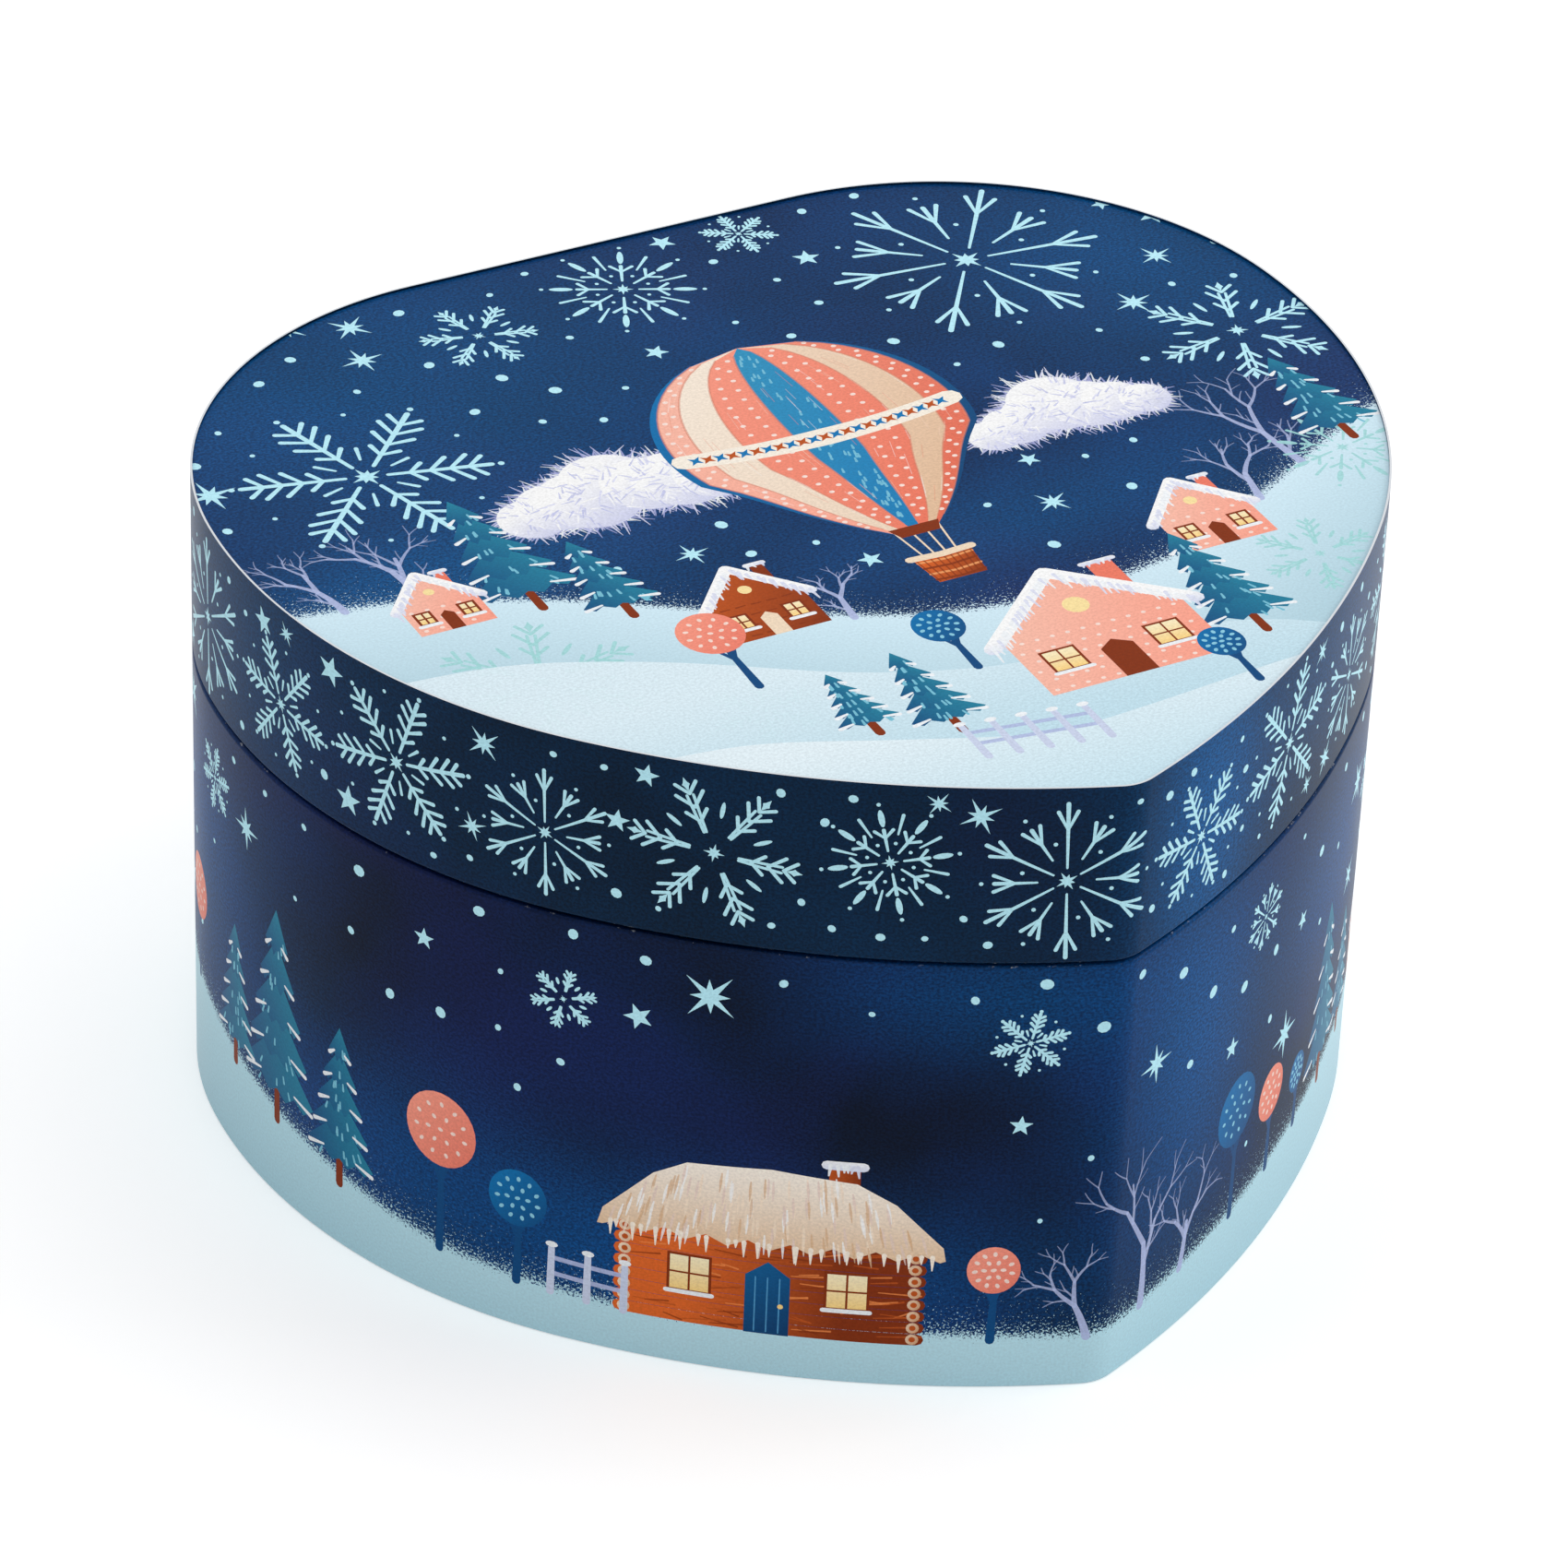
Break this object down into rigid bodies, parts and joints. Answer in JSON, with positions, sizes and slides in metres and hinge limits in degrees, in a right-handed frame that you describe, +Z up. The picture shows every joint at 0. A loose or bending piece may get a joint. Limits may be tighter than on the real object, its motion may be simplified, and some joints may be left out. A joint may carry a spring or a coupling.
{
  "type": "wind-up music box",
  "caption": "Heart-shaped musical jewellery box: hinged lid with mirror, cylinder movement wound by a key at the back, and a small turning figure.",
  "frame": {"origin": "middle of the heart outline's bounding box, on the underside", "axes": "+Z up, +Y towards the straight hinge side with the winding key, -Y towards the tip of the heart"},
  "size_m": [0.1648, 0.1594, 0.097],
  "materials": {
    "printed_paper": "gloss laminate over a printed navy sheet",
    "top_print": "gloss laminate over a printed sheet",
    "grey_board": "bare grey board",
    "underside_paper": "matt",
    "blue_flock": "short flock",
    "pale_card": "satin coated card",
    "coral_velvet": "velvet",
    "coral_ribbon": "satin ribbon",
    "brass": "polished",
    "steel": "bright",
    "zinc_casting": "satin",
    "spring_steel": "blued",
    "mirror_glass": "silvered",
    "fan_plastic": "moulded",
    "disc_lacquer": "gloss",
    "figure_coral": "painted",
    "figure_skin": "painted",
    "figure_blue": "painted"
  },
  "bodies": {
    "case": {"underside_sheet": "underside_paper", "base_wrap": "printed_paper", "base_board": "grey_board", "base_floor": "grey_board", "base_lining": "blue_flock", "floor_pad": "blue_flock", "left_divider": "blue_flock", "right_divider": "blue_flock", "ring_cushion": "coral_velvet", "movement_housing": "blue_flock", "stage_deck": "pale_card", "stage_collar": "brass", "key_escutcheon": "brass", "hinge_base_leaves": "brass", "hinge_pins": "steel", "hinge_base_screws": "steel", "ribbon_stay": "coral_ribbon", "bedplate": "zinc_casting", "bedplate_screws": "steel", "spring_housing": "zinc_casting", "mainspring": "spring_steel", "cylinder_bridge": "zinc_casting", "comb": "steel", "comb_plate": "zinc_casting", "comb_screws": "steel", "governor_frame": "zinc_casting"},
    "lid": {"lid_board": "grey_board", "lid_wrap": "printed_paper", "lid_top_board": "grey_board", "lid_top_sheet": "top_print", "lid_lining": "blue_flock", "lid_ceiling": "pale_card", "lid_mirror": "mirror_glass", "mirror_frame": "brass", "lid_stop_block": "blue_flock", "hinge_lid_leaves": "brass", "hinge_lid_screws": "steel"},
    "drive": {"drive_wheel": "brass", "ratchet_click": "steel"},
    "winding": {"winding_shaft": "steel", "ratchet_wheel": "steel", "winding_key": "brass"},
    "cylinder": {"cylinder_barrel": "brass", "cylinder_pins": "steel", "cylinder_arbor": "steel", "cylinder_pinion": "brass", "cylinder_wheel": "brass", "turning_disc": "disc_lacquer", "figure_body": "figure_coral", "figure_head": "figure_skin", "figure_hat": "figure_blue"},
    "governor": {"governor_wheel": "brass"},
    "fan": {"worm_shaft": "steel", "governor_fan": "fan_plastic"},
    "stop": {"stop_rod": "steel"}
  },
  "joints": [
    {"name": "lid_hinge", "type": "hinge", "parent": "case", "child": "lid", "pos_m": [0, 0.07727, 0.0693], "axis": [-1, 0, 0], "range_deg": [0, 100], "deforming": ["ribbon_stay"]},
    {"name": "drive_turn", "type": "hinge", "parent": "case", "child": "drive", "pos_m": [0, 0.07077, 0.0196], "axis": [0, 1, 0], "continuous": true},
    {"name": "winding_turn", "type": "hinge", "parent": "drive", "child": "winding", "pos_m": [0, 0.07077, 0.0196], "axis": [0, -1, 0], "range_deg": [0, 1440]},
    {"name": "cylinder_turn", "type": "hinge", "parent": "case", "child": "cylinder", "pos_m": [0, 0.05977, 0.04], "axis": [0, 0, 1], "continuous": true},
    {"name": "governor_turn", "type": "hinge", "parent": "case", "child": "governor", "pos_m": [-0.0125, 0.05977, 0.045], "axis": [0, 0, 1], "continuous": true},
    {"name": "fan_turn", "type": "hinge", "parent": "case", "child": "fan", "pos_m": [-0.0183, 0.05977, 0.0437], "axis": [0, 1, 0], "continuous": true},
    {"name": "stop_slide", "type": "slide", "parent": "case", "child": "stop", "axis": [0, 0, 1], "range_m": [0, 0.0025]}
  ],
  "couplings": [
    {"joint": "cylinder_turn", "follows": "drive_turn", "ratio": -3.3333},
    {"joint": "governor_turn", "follows": "drive_turn", "ratio": 13.333},
    {"joint": "fan_turn", "follows": "drive_turn", "ratio": -240},
    {"joint": "stop_slide", "follows": "lid_hinge", "m_per_rad": 0.00143}
  ]
}
